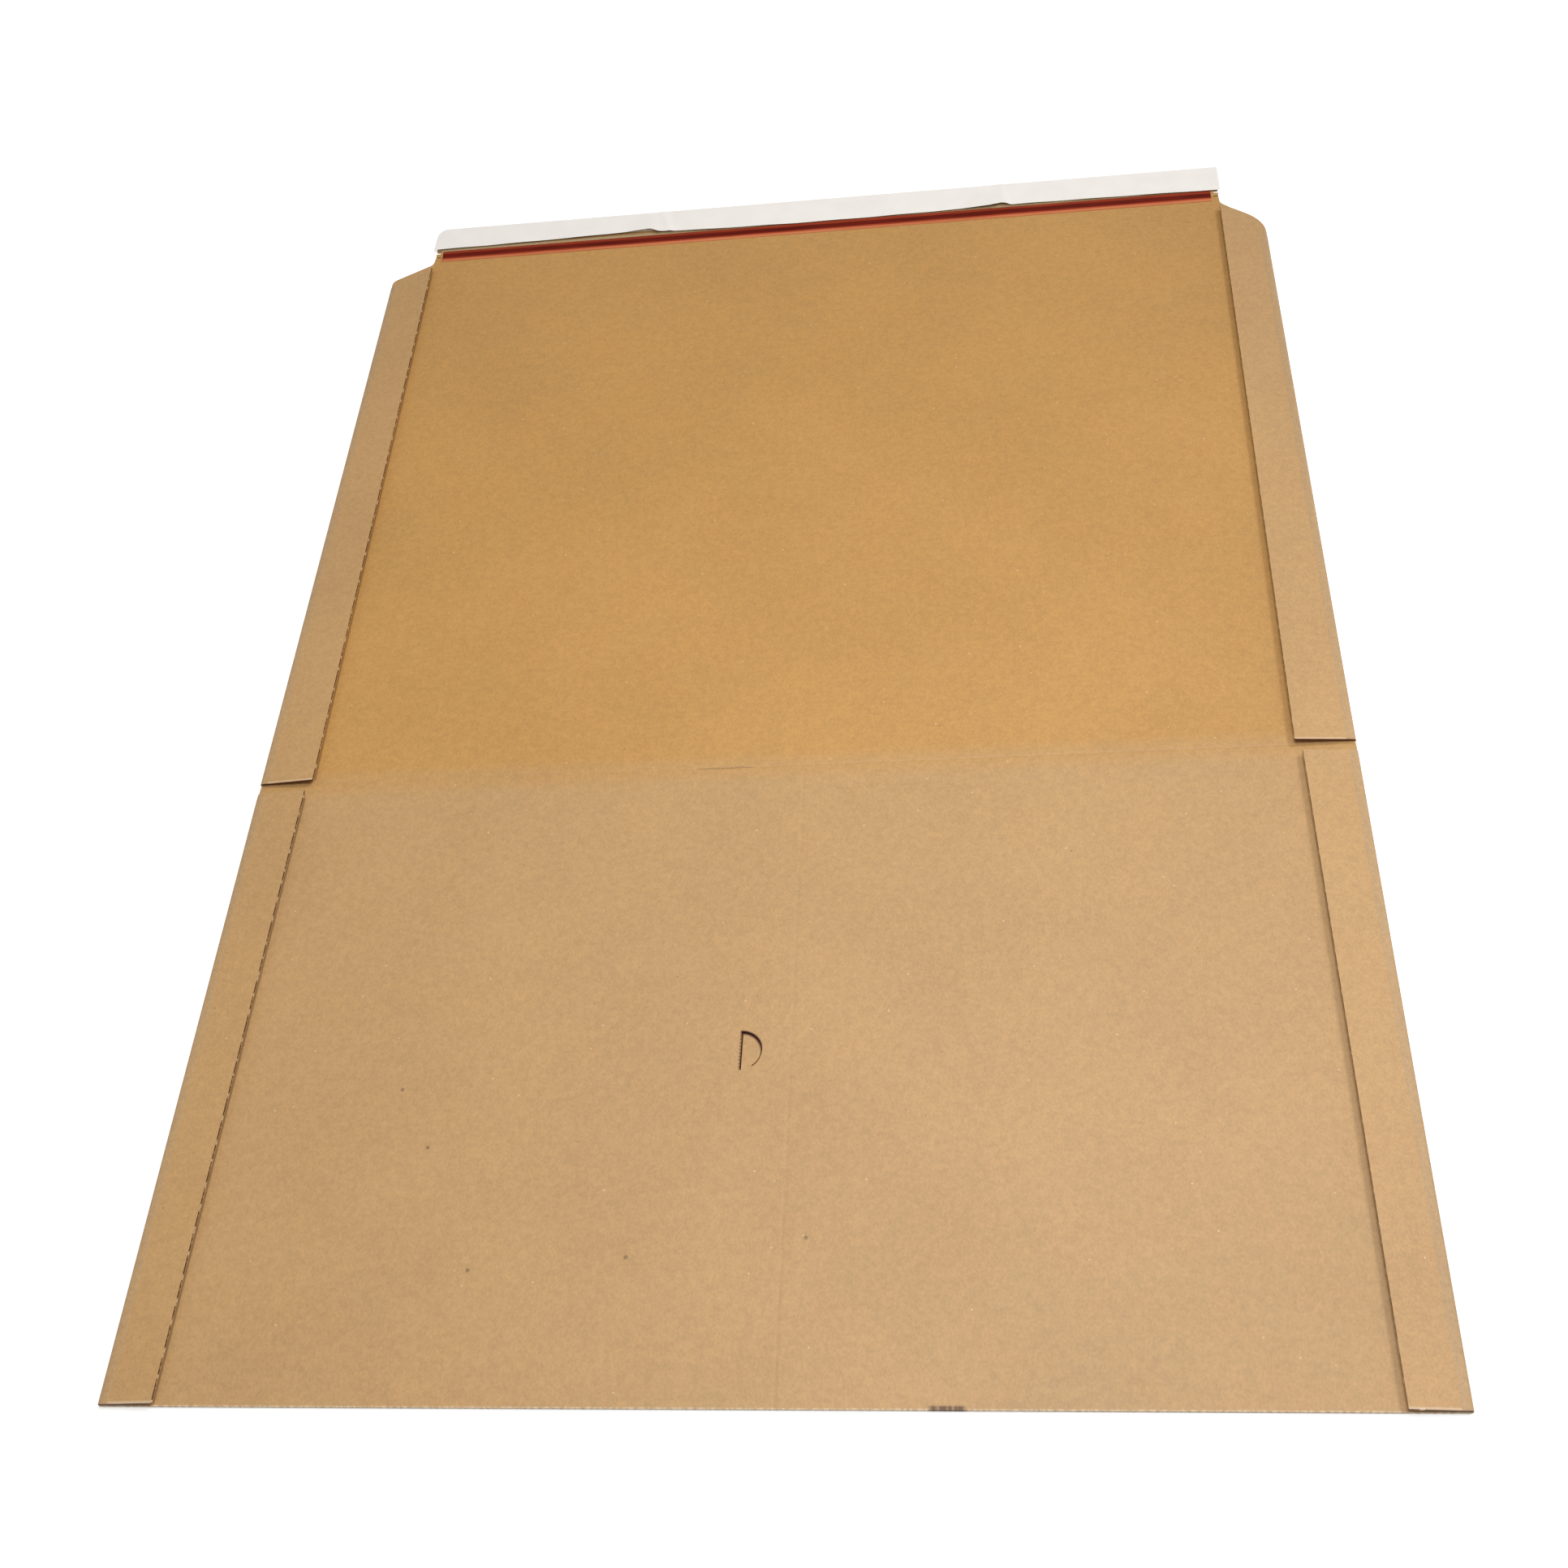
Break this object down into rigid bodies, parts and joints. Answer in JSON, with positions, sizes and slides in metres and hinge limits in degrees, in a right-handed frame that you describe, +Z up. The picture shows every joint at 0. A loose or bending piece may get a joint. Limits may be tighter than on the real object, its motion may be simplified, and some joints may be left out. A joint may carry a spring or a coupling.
{
  "type": "folding wrap mailer",
  "caption": "Flat corrugated wrap mailer, opened out: base, deeper lid, folded-in side flaps, and a peel-and-seal lip with a tear tape.",
  "frame": {"origin": "under the middle of the opened sheet, on the surface that it lies on", "axes": "+X to the right across the sheet, +Y from the base's front edge towards the lip, +Z up, out of the inner face"},
  "size_m": [0.5998, 0.8424, 0.006],
  "materials": {
    "inner_liner_tan": "matte kraft paper",
    "inner_liner_gold": "matte kraft paper",
    "outer_liner": "matte kraft paper",
    "tear_tape": "satin film",
    "adhesive": "tacky, slightly shiny",
    "release_liner": "silicone-coated paper"
  },
  "bodies": {
    "base": {"base_panel": "inner_liner_tan"},
    "base_flap_left": {"base_flap_left": "outer_liner"},
    "base_flap_right": {"base_flap_right": "outer_liner"},
    "lid": {"lid_panel": "inner_liner_gold", "tear_tape": "tear_tape"},
    "lid_flap_left": {"lid_flap_left": "outer_liner"},
    "lid_flap_right": {"lid_flap_right": "outer_liner"},
    "lip": {"closure_lip": "inner_liner_gold", "adhesive_strip": "adhesive", "release_liner": "release_liner"}
  },
  "joints": [
    {"name": "lid_fold", "type": "hinge", "parent": "base", "child": "lid", "pos_m": [0, -0.07475, 0.0061], "axis": [1, 0, 0], "range_deg": [0, 180]},
    {"name": "lip_fold", "type": "hinge", "parent": "lid", "child": "lip", "pos_m": [0, 0.39625, 0.0021], "axis": [1, 0, 0], "range_deg": [0, 150]},
    {"name": "base_flap_left_fold", "type": "hinge", "parent": "base", "child": "base_flap_left", "pos_m": [-0.3, -0.2485, 0.00175], "axis": [0, -1, 0], "range_deg": [-4, 175]},
    {"name": "base_flap_right_fold", "type": "hinge", "parent": "base", "child": "base_flap_right", "pos_m": [0.3, -0.2485, 0.00175], "axis": [0, 1, 0], "range_deg": [-4, 175]},
    {"name": "lid_flap_left_fold", "type": "hinge", "parent": "lid", "child": "lid_flap_left", "pos_m": [-0.3, 0.1555, 0.00175], "axis": [0, -1, 0], "range_deg": [-4, 175]},
    {"name": "lid_flap_right_fold", "type": "hinge", "parent": "lid", "child": "lid_flap_right", "pos_m": [0.3, 0.1555, 0.00175], "axis": [0, 1, 0], "range_deg": [-4, 175]}
  ]
}
